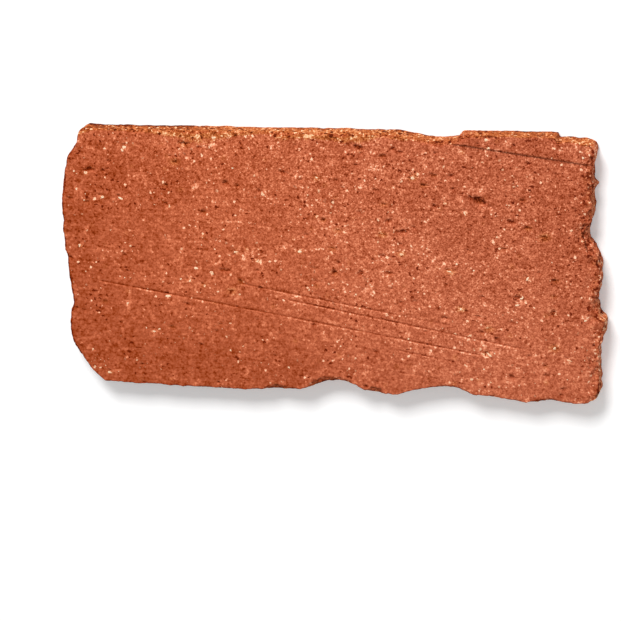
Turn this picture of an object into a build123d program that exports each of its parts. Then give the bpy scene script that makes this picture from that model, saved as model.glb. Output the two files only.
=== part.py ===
from build123d import *

import math
import os

# A brick tile: a slice sawn off a reclaimed red clay brick.
# Millimetres. X runs along the tile, Y across it and Z up. The tile lies on its old bed face with the sawn face
# up, and the origin is under the middle of its bounding box, on the plane it rests on.

# Overall size of the slice
LENGTH = 215.0  # standard brick length, over the furthest points of both ends
WIDTH = 105.0  # brick width, over the furthest points of both long edges
THICKNESS = 13.0  # old bed face to the top of the raised lip

# Edges all round
ROLL_RADIUS = 1.4  # worn, rounded edge of the old bed face
ROLL_FLATS = 3  # flats that the rounded edge is built from
EDGE_BREAK = 0.4  # ragged little bevel round the sawn face

# Raised lip beside the upper edge, where one saw pass stopped short of another
LIP_RISE = 0.8  # above the sawn face
LIP_LENGTH = 82.5  # back from the right end
LIP_WIDTH_AT_END = 11.5  # in from the upper edge, at the right end
LIP_STEP_RUN = 0.3  # slope of the step, seen from above

# Score lines that the saw drew across the face
SCORE_WIDTH = 0.9
SCORE_DEPTH = 0.35
SCORE_TAIL = 0.15  # share of the full section that is left where a line fades out
SCORE_PEAK = 0.1  # share of a line's length at which it is deepest

SPALL_LEAN = 45.0  # degrees by which a spalling blow leans away from the edge
CLEARANCE = 1.0  # how far a cut or a wedge runs on past what it cuts or crosses

# The worn outline, anticlockwise. A station is (percent, set-in): percent of the way along the side from its
# left or lower corner, and the millimetres by which wear has brought the edge in. A smooth curve joins the
# stations of one run, and one run meets the next at a sharp point.
LOWER_RUNS = [
    [(6.8, 1.8), (16.3, 1.3), (32.1, 0.7), (42.3, 1.4)],
    [(42.3, 1.4), (45.9, 2.6), (48.8, 4.8), (53.3, 4.8), (56.1, 1.7)],
    [(56.1, 1.7), (59.5, 1.0), (62.4, 0.9)],
    [(62.4, 0.9), (64.5, 2.6), (69.4, 4.7), (74.0, 4.0), (76.2, 2.1)],
    [(76.2, 2.1), (81.8, 1.2), (86.3, 0.0), (91.2, 1.1), (93.1, 0.4), (96.9, 1.1)],
]
RIGHT_RUNS = [
    [(4.6, 2.5), (8.0, 2.2), (23.0, 1.9), (27.6, 0.8), (32.2, 0.0)],
    [(32.2, 0.0), (34.2, 2.6), (36.6, 3.0), (38.9, 3.2), (41.1, 2.5)],
    [(41.1, 2.5), (52.5, 2.4), (57.1, 3.6), (59.6, 5.0), (61.5, 6.8)],
    [(61.5, 6.8), (68.2, 5.9), (75.0, 5.3), (79.4, 5.2), (81.6, 4.0)],
    [(81.6, 4.0), (86.1, 5.2), (90.6, 4.6), (93.5, 4.0), (96.0, 5.3)],
]
UPPER_RUNS = [
    [(96.1, 2.8), (91.4, 1.9)],
    [(91.4, 1.9), (91.0, 0.1)],
    [(91.0, 0.1), (83.7, 0.0), (74.1, 0.2)],
    [(74.1, 0.2), (73.5, 2.2)],
    [(73.5, 2.2), (70.4, 2.8), (67.6, 2.6), (64.7, 1.3), (61.8, 0.4)],
    [(61.8, 0.4), (5.4, 0.5)],
]
LEFT_RUNS = [
    [(98.6, 8.4), (96.2, 7.8), (92.8, 6.6), (89.8, 3.5), (86.4, 2.7), (82.5, 1.5), (77.0, 0.5), (71.3, 0.0)],
    [(71.3, 0.0), (61.1, 0.1), (43.1, 1.8), (34.7, 2.6)],
    [(34.7, 2.6), (29.5, 2.1), (24.7, 1.1), (20.8, 1.3), (16.0, 2.3), (10.9, 5.9), (6.6, 8.9), (2.6, 13.2)],
]

# Spalls knocked off the edge of the sawn face: (side, percent, reach, bite). Reach is half the length of the
# chip along the edge, and bite is how deep it goes, measured slantwise from the edge.
SPALLS = [
    ("lower", 11.2, 4.0, 0.8),
    ("lower", 34.4, 6.5, 1.3),
    ("lower", 47.0, 8.0, 1.9),
    ("lower", 61.0, 6.0, 1.6),
    ("lower", 72.0, 6.0, 1.1),
    ("lower", 90.2, 5.5, 1.2),
    ("right", 13.5, 8.0, 1.6),
    ("right", 38.5, 4.5, 1.9),
    ("right", 67.0, 6.0, 2.6),
    ("upper", 24.2, 6.0, 1.1),
    ("upper", 41.0, 7.0, 0.9),
    ("upper", 70.0, 8.0, 1.5),
    ("left", 78.0, 6.0, 1.3),
    ("left", 33.0, 5.0, 1.1),
    ("left", 11.5, 6.0, 1.2),
]

# Score lines: (percent along, percent across) at the start and at the end. Each is deepest near its start.
SCORE_LINES = [
    ((6.1, 41.1), (88.1, 13.1)),
    ((33.3, 41.7), (47.5, 37.2)),
    ((39.6, 33.9), (69.1, 23.5)),
    ((44.9, 35.6), (82.4, 21.4)),
    ((54.7, 34.3), (69.1, 30.4)),
    ((64.1, 17.5), (72.7, 15.0)),
]

# Open pores in the sawn face: (percent along, percent across, length, width, depth, turn in degrees)
PORES = [
    (77.2, 76.2, 7.6, 2.2, 1.4, -20.0),
    (90.9, 31.7, 3.4, 2.6, 1.2, 40.0),
    (49.3, 47.3, 3.0, 1.8, 1.0, 25.0),
    (60.5, 48.0, 3.4, 1.6, 1.0, -10.0),
    (12.4, 91.1, 4.0, 2.2, 1.0, 15.0),
    (25.5, 65.9, 3.2, 2.2, 1.0, 15.0),
    (9.1, 80.0, 4.0, 2.4, 1.1, -5.0),
    (38.8, 85.3, 4.4, 1.8, 1.0, -8.0),
    (65.8, 86.1, 3.4, 2.0, 1.0, 10.0),
    (21.2, 18.1, 3.0, 2.2, 1.0, 30.0),
    (55.6, 15.3, 3.2, 2.0, 1.0, -20.0),
]

# Height of the sawn face over most of the tile
FACE_HEIGHT = THICKNESS - LIP_RISE

# Each side: its runs, and the direction that points away from the tile
SIDES = {
    "lower": (LOWER_RUNS, (0.0, -1.0)),
    "right": (RIGHT_RUNS, (1.0, 0.0)),
    "upper": (UPPER_RUNS, (0.0, 1.0)),
    "left": (LEFT_RUNS, (-1.0, 0.0)),
}


def along(percent, full):
    """A distance from the middle of a full size, given as percent of it from the left or lower corner."""
    return (percent / 100 - 0.5) * full


def edge_point(side, percent, set_in):
    """The place of one station in plan."""
    out_x, out_y = SIDES[side][1]
    if out_x:
        return (out_x * (LENGTH / 2 - set_in), along(percent, WIDTH))
    return (along(percent, LENGTH), out_y * (WIDTH / 2 - set_in))


def outline_runs():
    """The runs of the outline as points. A side's first run starts where the side before it ended."""
    runs = []
    for side, (side_runs, _) in SIDES.items():
        for index, stations in enumerate(side_runs):
            points = [edge_point(side, *station) for station in stations]
            if index == 0 and runs:
                points.insert(0, runs[-1][-1])
            runs.append(points)
    runs[-1].append(runs[0][0])
    return runs


def section(inset, height):
    """The outline as a flat face at a height, with all four sides brought in by the inset."""
    share_x = 1 - 2 * inset / LENGTH
    share_y = 1 - 2 * inset / WIDTH
    edges = []
    for run in outline_runs():
        points = [(x * share_x, y * share_y, height) for x, y in run]
        edges.append(Line(*points) if len(points) == 2 else Spline(*points))
    return make_face(edges)


def slice_body():
    """The whole slice up to the sawn face: rounded bed edge, upright sides and the small bevel on top."""
    sections = []
    for flat in range(ROLL_FLATS + 1):
        angle = math.radians(90 * flat / ROLL_FLATS)
        sections.append(section(ROLL_RADIUS * (1 - math.sin(angle)), ROLL_RADIUS * (1 - math.cos(angle))))
    sections.append(section(0, FACE_HEIGHT - EDGE_BREAK))
    sections.append(section(EDGE_BREAK, FACE_HEIGHT))
    return loft(sections, ruled=True)


def raised_lip():
    """The wedge of the slice beside the upper edge that stands proud, with a sloped step along its front."""
    foot_x = LENGTH / 2 - LIP_LENGTH
    beyond = LENGTH / 2 + CLEARANCE
    edge_y = WIDTH / 2
    end_y = edge_y - LIP_WIDTH_AT_END
    low = [(foot_x, edge_y + CLEARANCE), (foot_x, edge_y), (beyond, end_y), (beyond, edge_y + CLEARANCE)]
    high = [(x, y + LIP_STEP_RUN if index in (1, 2) else y) for index, (x, y) in enumerate(low)]
    base = FACE_HEIGHT - EDGE_BREAK
    below = make_face(Polyline(*[(x, y, base) for x, y in low], close=True))
    above = make_face(Polyline(*[(x, y, THICKNESS) for x, y in high], close=True))
    upright = loft([section(0, base), section(0, THICKNESS - EDGE_BREAK), section(EDGE_BREAK, THICKNESS)], ruled=True)
    return upright & loft([below, above], ruled=True)


def worn_in(side, percent):
    """How far the outline is set in at a place on a side, read straight between its stations."""
    stations = sorted(station for run in SIDES[side][0] for station in run)
    for (before, set_in), (after, next_in) in zip(stations, stations[1:]):
        if before <= percent <= after and after > before:
            return set_in + (next_in - set_in) * (percent - before) / (after - before)
    return stations[0][1]


def spall(side, percent, reach, bite):
    """A ball that takes one shell-shaped chip off the sawn edge. Its middle leans out and up from there."""
    radius = (reach**2 + bite**2) / (2 * bite)
    x, y = edge_point(side, percent, worn_in(side, percent))
    out_x, out_y = SIDES[side][1]
    out = (radius - bite) * math.sin(math.radians(SPALL_LEAN))
    up = (radius - bite) * math.cos(math.radians(SPALL_LEAN))
    return Pos(x + out_x * out, y + out_y * out, FACE_HEIGHT + up) * Sphere(radius)


def score(start, end):
    """A long thin V-shaped groove, full near its start and faint where it ends."""
    x0, y0 = along(start[0], LENGTH), along(start[1], WIDTH)
    x1, y1 = along(end[0], LENGTH), along(end[1], WIDTH)
    length = math.hypot(x1 - x0, y1 - y0)
    rise = CLEARANCE / SCORE_DEPTH
    sections = []
    for place, share in ((0.0, SCORE_TAIL), (SCORE_PEAK, 1.0), (1.0, SCORE_TAIL)):
        half = SCORE_WIDTH / 2 * share
        low = (length * place, 0, -SCORE_DEPTH * share)
        left = (length * place, half * (1 + rise), CLEARANCE * share)
        right = (length * place, -half * (1 + rise), CLEARANCE * share)
        sections.append(make_face(Polyline(low, left, right, close=True)))
    turn = math.degrees(math.atan2(y1 - y0, x1 - x0))
    return Pos(x0, y0, FACE_HEIGHT) * Rot(0, 0, turn) * loft(sections, ruled=True)


def pore(across_x, across_y, length, width, depth, turn):
    """An open pore: the lower half of a stretched ball, let into the face."""
    x, y = along(across_x, LENGTH), along(across_y, WIDTH)
    ball = scale(Sphere(1), by=(length / 2, width / 2, depth))
    return Pos(x, y, FACE_HEIGHT) * Rot(0, 0, turn) * ball


tile = slice_body() + raised_lip()
tile = tile - [spall(*item) for item in SPALLS]
tile = tile - [score(*item) for item in SCORE_LINES]
tile = tile - [pore(*item) for item in PORES]

# Bring the middle of the bounding box over the origin
box = tile.bounding_box()
tile = Pos(-box.center().X, -box.center().Y, -box.min.Z) * tile

os.makedirs("parts", exist_ok=True)
export_step(tile, "parts/brick_tile.step")
print("tile", tile.bounding_box().size, "volume", round(tile.volume))
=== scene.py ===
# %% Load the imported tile
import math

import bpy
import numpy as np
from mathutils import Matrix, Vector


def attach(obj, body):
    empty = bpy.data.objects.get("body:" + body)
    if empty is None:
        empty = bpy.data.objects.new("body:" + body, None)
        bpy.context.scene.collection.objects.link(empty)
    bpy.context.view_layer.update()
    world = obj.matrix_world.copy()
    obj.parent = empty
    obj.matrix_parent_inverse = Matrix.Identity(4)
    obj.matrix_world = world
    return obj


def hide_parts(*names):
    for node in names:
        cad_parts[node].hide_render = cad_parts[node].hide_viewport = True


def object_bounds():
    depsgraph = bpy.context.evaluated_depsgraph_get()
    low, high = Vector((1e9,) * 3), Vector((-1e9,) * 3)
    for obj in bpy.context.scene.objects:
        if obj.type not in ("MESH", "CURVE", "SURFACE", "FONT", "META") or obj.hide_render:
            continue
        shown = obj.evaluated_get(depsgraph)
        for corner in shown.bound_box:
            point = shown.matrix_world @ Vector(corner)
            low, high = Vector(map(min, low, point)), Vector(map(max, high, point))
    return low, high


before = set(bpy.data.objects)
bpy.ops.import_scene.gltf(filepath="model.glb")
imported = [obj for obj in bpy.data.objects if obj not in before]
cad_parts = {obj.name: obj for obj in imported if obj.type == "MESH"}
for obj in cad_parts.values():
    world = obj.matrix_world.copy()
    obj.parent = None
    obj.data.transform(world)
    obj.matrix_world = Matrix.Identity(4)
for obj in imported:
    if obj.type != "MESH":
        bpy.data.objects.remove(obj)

# %% [markdown]
# # A slice of red clay brick
#
# The object is one piece of stock: a reclaimed brick was sawn into slices 13 mm thick, and this is one of
# them. It lies on the brick's old bed face, and the fresh sawn face looks up. What the eye reads as "brick"
# is nearly all on that face: a soft red ground, pale grains of lime and quartz, dark pores, and the lines
# that the saw drew. The CAD solid gives the size, the worn outline and the raised lip. This script puts a
# finely divided skin over it, because a chipped edge and a pitted face need real relief. Everything is worked
# out in millimetres and turned to metres only when it goes into a mesh.

MM = 0.001  # Blender works in metres
TILE = "brick_tile"

cad_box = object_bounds()
BOX_LOW, BOX_HIGH = [np.array(corner) / MM for corner in cad_box]
LENGTH, WIDTH, THICKNESS = BOX_HIGH - BOX_LOW
LIP_RISE = 0.8  # the lip stands this far above the rest of the sawn face
SAWN_LEVEL = THICKNESS - LIP_RISE
print(f"solid: {LENGTH:.1f} x {WIDTH:.1f} x {THICKNESS:.1f} mm, sawn face at {SAWN_LEVEL:.1f} mm")

# %% [markdown]
# ## Unevenness
#
# Fired clay is never flat or even. Blender could add this with a Displace modifier and a Clouds texture, but
# the same soft randomness is needed here in many places, by itself and cut to a region, so it is a function.
# It looks up random numbers on a cubic lattice and blends them smoothly in between. A lattice that is half as
# wide and half as strong, added on top, gives finer grain.


# %% A smooth random value for any place
def unevenness(places, size, seed, layers=1):
    """Random values between -1 and 1 that change over about `size` mm. The value at a place is blended from
    the eight lattice points round it, with the ease curve 3t^2 - 2t^3 along each axis. Each further layer has
    half the size and half the weight."""
    total = np.zeros(len(places))
    weights = 0.0
    for layer in range(layers):
        lattice = np.random.default_rng(seed + 101 * layer).uniform(-1, 1, (64, 64, 64))
        scaled = places / (size / 2**layer) + 17.3
        corner = np.floor(scaled).astype(int)
        t = scaled - corner
        ease = t * t * (3 - 2 * t)
        value = np.zeros(len(places))
        for step in np.ndindex(2, 2, 2):
            share = np.prod(np.where(step, ease, 1 - ease), axis=1)
            i, j, k = ((corner + step) % 64).T
            value += share * lattice[i, j, k]
        total += value / 2**layer
        weights += 1 / 2**layer
    return total / weights


def ease_between(value, start, end):
    """0 before start, 1 after end, and the ease curve 3t^2 - 2t^3 between them. Start may be the larger."""
    t = np.clip((value - start) / (end - start), 0, 1)
    return t * t * (3 - 2 * t)


sample = unevenness(np.random.default_rng(seed=1).uniform(-100, 100, (5000, 3)), 4.0, seed=3, layers=2)
print(f"unevenness runs from {sample.min():.2f} to {sample.max():.2f}, and is {sample.std():.2f} typically")

# %% [markdown]
# ## The worn outline
#
# The tile's outline is irregular all round: one end is rubbed round, the other is broken, and both long edges
# have shallow bites. It could be drawn a second time here, but then two outlines would have to agree. Instead
# the solid's upright walls are cut at mid height and the cut is used as it is, so the skin fits the solid
# exactly. To put the cut points in order, someone stands inside the tile and takes them as they turn round.

# %% Cut the solid's walls and sort the cut into a loop
LOOKOUT = np.array([30.0, 0.0])  # the whole outline can be seen from here, no bite hides another


def bearing_of(points):
    """The direction of each point from the lookout, in radians anticlockwise from +X."""
    return np.arctan2(points[:, 1] - LOOKOUT[1], points[:, 0] - LOOKOUT[0])


def wall_cut(solid, level):
    """The points where the solid's triangles cross a level. Along a crossing edge from a to b, the point is
    at the share (level - a.z) / (b.z - a.z). Sorted by bearing from the lookout, they go round
    anticlockwise."""
    mesh = solid.data
    mesh.calc_loop_triangles()
    places = np.empty(len(mesh.vertices) * 3)
    corners = np.empty(len(mesh.loop_triangles) * 3, dtype=int)
    mesh.vertices.foreach_get("co", places)
    mesh.loop_triangles.foreach_get("vertices", corners)
    triangles = places.reshape(-1, 3)[corners.reshape(-1, 3)] / MM
    start = triangles.reshape(-1, 3)
    end = np.roll(triangles, -1, axis=1).reshape(-1, 3)
    crosses = (start[:, 2] > level) != (end[:, 2] > level)
    start, end = start[crosses], end[crosses]
    share = (level - start[:, 2]) / (end[:, 2] - start[:, 2])
    points = start[:, :2] + share[:, None] * (end - start)[:, :2]
    return points[np.argsort(bearing_of(points))]


def between_bearings(loop, first, last, count):
    """The stretch of the loop between two bearings, as count + 1 points an equal distance apart along it."""
    twice = np.concatenate([loop, loop])
    bearing = np.unwrap(bearing_of(twice))
    bearing += 2 * np.pi * np.round((first - bearing[0]) / (2 * np.pi) - 0.5)
    inside = (bearing > first) & (bearing < last)
    ends = [[np.interp(b, bearing, twice[:, axis]) for axis in (0, 1)] for b in (first, last)]
    stretch = np.vstack([ends[0], twice[inside], ends[1]])
    travelled = np.concatenate([[0], np.cumsum(np.hypot(*np.diff(stretch, axis=0).T))])
    wanted = np.linspace(0, travelled[-1], count + 1)
    return np.stack([np.interp(wanted, travelled, stretch[:, axis]) for axis in (0, 1)], axis=1)


CELL = 0.6  # spacing of the skin's points, fine enough for a chip of 1.5 mm
COARSE = 3  # the plain underside has one point for this many
ALONG = COARSE * round(LENGTH / CELL / COARSE)
ACROSS = COARSE * round(WIDTH / CELL / COARSE)
AROUND = 2 * (ALONG + ACROSS)
SIDE_COUNTS = [ALONG, ACROSS, ALONG, ACROSS]  # lower edge, right end, upper edge, left end

loop = wall_cut(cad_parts[TILE], THICKNESS / 2)
box_corners = np.array([BOX_LOW[:2], [BOX_HIGH[0], BOX_LOW[1]], BOX_HIGH[:2], [BOX_LOW[0], BOX_HIGH[1]]])
bearings = bearing_of(box_corners)
bearings = np.append(bearings, bearings[0] + 2 * np.pi)
sides = [between_bearings(loop, bearings[n], bearings[n + 1], count) for n, count in enumerate(SIDE_COUNTS)]
outline = np.concatenate([side[:-1] for side in sides])
print(f"outline: {len(loop)} cut points, resampled to {len(outline)}, by side {SIDE_COUNTS}")

# %% [markdown]
# ## The side wall
#
# The side is the brick's own fired outer skin. It is rough where the clay dragged in the mould, it drops
# straight from the sawn face, and it turns under in a worn, rounded edge. That is a profile carried round the
# outline, so each level of the wall is the outline moved in by some amount. Moving a jagged line inwards
# makes it cross itself, so each level first softens the outline as much as it moves it.

# %% Levels of the wall, from the sawn face down and under
ROLL_RADIUS = 1.4  # the rounded edge underneath
WALL_LEVELS = 13
ROLL_LEVELS = 3
SKIN_RELIEF = 0.36  # drag marks and gritty hollows stand this far out or in
BREAK_RELIEF = 0.9  # the right end was broken off, and its facets lie this far in or out
JAG_RELIEF = 0.9  # and its edge is jagged by this much


def softened(ring, spread):
    """Each point of a closed ring becomes the average of its neighbours, weighted by a bell curve whose width
    is `spread` points."""
    if spread <= 0:
        return ring
    reach = np.arange(len(ring))
    reach = np.minimum(reach, len(ring) - reach)
    bell = np.exp(-0.5 * (reach / spread) ** 2)
    spectrum = np.fft.rfft(bell / bell.sum())
    return np.stack([np.fft.irfft(np.fft.rfft(c) * spectrum, len(ring)) for c in ring.T], axis=1)


def at_level(points, level=0.0):
    """Points in plan, with a height added."""
    return np.column_stack([points, np.broadcast_to(level, len(points))])


def inward_of(ring):
    """The direction into the tile at each point: the tangent between its two neighbours, turned a quarter
    left."""
    tangent = np.roll(ring, -1, axis=0) - np.roll(ring, 1, axis=0)
    tangent /= np.linalg.norm(tangent, axis=1)[:, None]
    return np.stack([-tangent[:, 1], tangent[:, 0]], axis=1)


def wall_ring(level, inset):
    """One level of the wall: the softened outline moved in by the inset, and in or out by the relief of the
    fired skin. The broken right end has facets as well, which begin 1 mm below the sawn face."""
    ring = softened(outline, 1.4 * inset / CELL)
    places = at_level(ring, level)
    grit = unevenness(places, 2.2, seed=11, layers=3)
    drag = unevenness(places * [0.35, 0.35, 1.0], 3.2, seed=12, layers=2)
    relief = SKIN_RELIEF * (0.7 * grit + 0.5 * drag)
    at_end = ease_between(ring[:, 0], 0.5 * LENGTH - 12, 0.5 * LENGTH - 8)
    facets = unevenness(places, 6.5, seed=13) * ease_between(level, SAWN_LEVEL - 1, SAWN_LEVEL - 4)
    jag = (0.3 + 0.7 * at_end) * JAG_RELIEF * unevenness(places, 2.6, seed=14, layers=2)
    relief = relief + at_end * BREAK_RELIEF * facets + jag
    ring = ring + inward_of(softened(ring, 2)) * (inset + relief)[:, None]
    return at_level(ring, level)


wall = [wall_ring(level, 0.0) for level in np.linspace(SAWN_LEVEL, ROLL_RADIUS, WALL_LEVELS)]
for quarter in np.linspace(0, math.pi / 2, ROLL_LEVELS + 1)[1:]:
    wall.append(wall_ring(ROLL_RADIUS * (1 - math.sin(quarter)), ROLL_RADIUS * (1 - math.cos(quarter))))
wall = np.array(wall)
print(f"wall: {wall.shape[0]} levels of {wall.shape[1]} points")

# %% [markdown]
# ## The sawn face
#
# The face is a grid stretched between the four sides of the wall's top ring. This is a Coons patch: blend the
# lower side into the upper side, blend the left end into the right end, add the two, and take away what both
# counted, the plain blend of the four corners. The grid then follows every bite in the outline and has no
# seam against the wall. A remeshed solid would need no such formula, but it would place its points at random.


# %% Stretch the grid over the outline
def stretched_grid(ring, along, across):
    """The Coons patch of a closed ring: with u along and v across, both from 0 to 1, it is (1-v) lower(u) + v
    upper(u) + (1-u) left(v) + u right(v), less the blend of the four corners."""
    closed = np.vstack([ring, ring[:1]])
    lower = closed[: along + 1]
    right = closed[along : along + across + 1]
    upper = closed[along + across : 2 * along + across + 1][::-1]
    left = closed[2 * along + across :][::-1]
    u = np.linspace(0, 1, along + 1)[None, :, None]
    v = np.linspace(0, 1, across + 1)[:, None, None]
    corners = (1 - u) * ((1 - v) * lower[0] + v * upper[0]) + u * ((1 - v) * lower[-1] + v * upper[-1])
    return (1 - v) * lower[None] + v * upper[None] + (1 - u) * left[:, None] + u * right[:, None] - corners


face = stretched_grid(wall[0, :, :2], ALONG, ACROSS)
print("sawn face:", face.shape[1] - 1, "by", face.shape[0] - 1, "cells")

# %% [markdown]
# ## Sharp lines on a grid
#
# Two things on the face are sharp and nearly straight: the edge of the raised lip, where one pass of the saw
# stopped short of another, and the score lines that a loose grain drew. The foot of the lip's step gets
# painted shade. A score line has a groove with painted shade at its bottom and on its upper bank and, below
# it, a paler bank of rubbed clay with a painted highlight. On a grid a slanted line turns into a staircase.
# So in each column the row nearest to the line is pulled onto it, and its neighbours are set close beside it.
# All these lines fall to the right, so the cells are later split along that diagonal too.

# %% Pull rows of the grid onto the lip's edge and the score lines
LIP_FOOT = (24.8, 52.5)  # where the line of the lip's edge leaves the upper edge, from the middle of the tile
LIP_SLOPE = -0.138  # its fall for each millimetre towards the right end
LIP_RUN = 0.28  # the step's own slope, seen from above
LIP_SHADE = 0.3  # how dark the painted shade at the foot of the step is, away from the right end
SCORE_HALF = 0.5  # half the width of a score line
SCORE_KEPT = 0.84  # share of its depth that a score line kept at its start
DARK_DEPTH = 0.28  # a groove of this depth is fully dark at the bottom

# Score lines: start x, y, end x, y, depth, share of the depth that is left at the end, and rise of the middle
SCORES = [
    (-94.4, -8.85, 82.0, -37.8, 0.27, 0.88, 0.35),
    (-36.5, -8.2, 54.0, -23.5, 0.32, 0.45, 0.0),
    (-17.0, -14.3, 83.9, -32.2, 0.35, 0.7, 0.0),
    (27.0, -33.2, 51.2, -37.4, 0.22, 0.9, 0.0),
    (27.1, -42.2, 42.1, -44.0, 0.12, 0.9, 0.0),
]


def lip_line(x):
    """The y of the lip's straight edge at each x."""
    return LIP_FOOT[1] + LIP_SLOPE * (x - LIP_FOOT[0])


def arched_line(x0, y0, x1, y1, rise):
    """The y of a line at each x, as a function. With t the share of the way from x0 to x1, it is the straight
    run y0 + (y1 - y0) t plus an arch 4 rise t (1 - t)."""

    def line_at(x):
        t = (x - x0) / (x1 - x0)
        return y0 + (y1 - y0) * t + 4 * rise * t * (1 - t)

    return line_at


def pull_rows(line_at, begin_x, end_x, offsets):
    """Where the line crosses a column of the grid, moves one row for each offset to that distance above it.
    They begin at the row nearest to the line, or one below where there are three. Returns what it moved."""
    gap = face[:, :, 1] - line_at(face[:, :, 0])
    column = np.arange(ALONG + 1)
    nearest = np.abs(gap).argmin(axis=0)
    x = face[nearest, column, 0]
    crossed = (np.abs(gap[nearest, column]) < CELL) & (x > begin_x) & (x < end_x)
    column, nearest = column[crossed], nearest[crossed]
    moved = []
    for step, offset in enumerate(offsets):
        row = nearest + step - (len(offsets) - 1) // 2
        inside = (row > 0) & (row < ACROSS)
        row, line = row[inside], column[inside]
        face[row, line, 1] = line_at(face[row, line, 0]) + offset
        moved.append((row, line))
    return moved


sharp = np.zeros(face.shape[:2], dtype=bool)  # points on the edges of a step or a groove
groove = np.zeros(face.shape[:2])  # depth at the bottom of a score line
shade = np.zeros(face.shape[:2])  # painted shade at the foot of the lip's step and at the bottom and upper bank of a score line
bank_rub_and_highlight = np.zeros(face.shape[:2])  # how pale the lower bank is: rubbed by the saw, with a painted highlight where it faces the lamp
for rows, columns in pull_rows(lip_line, LIP_FOOT[0], LENGTH, (0.0, LIP_RUN)):
    sharp[rows, columns] = True
    to_end = 0.5 * LENGTH - face[rows, columns][:, 0]
    # Painted shade at the foot of the step, fading out towards the right end
    shade[rows, columns] = LIP_SHADE * ease_between(to_end, 6, 28)
for x0, y0, x1, y1, depth, left, rise in SCORES:
    line_at = arched_line(x0, y0, x1, y1, rise)
    below, bottom, above = pull_rows(line_at, x0, x1, (-SCORE_HALF, 0.0, SCORE_HALF))
    share = (face[bottom][:, 0] - x0) / (x1 - x0)
    chatter = 0.75 + 0.5 * unevenness(at_level(face[bottom]), 5.0, seed=61, layers=2)
    fading = SCORE_KEPT * (1 - (1 - left) * share) * chatter
    fading *= ease_between(share, 0, 0.02) * ease_between(share, 1, 0.85)
    groove[bottom] = depth * fading
    # Painted shade at the groove's bottom and on its upper bank; on its lower bank, rubbed clay and a painted
    # highlight
    for mark, points, weight in ((shade, bottom, 1.0), (shade, above, 0.4), (bank_rub_and_highlight, below, 0.9)):
        mark[points] = weight * depth / DARK_DEPTH * fading
        sharp[points] = True
print(f"lines: {np.count_nonzero(sharp)} points pulled, the deepest score {groove.max():.2f} mm")

# %% [markdown]
# ## Grains and pores
#
# Crushed lime and quartz were mixed into the clay, and they are the palest thing on the face. Gas and
# burnt-out straw leave small voids, and the saw cuts them open and tears them a little along its way. It also
# pulls at the grains, so most of them sit at the lower rim of a little pit. What the eye picks out has a
# place of its own, and the rest is strewn at random, longer along the tile than across because the clay was
# pressed that way.

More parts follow.
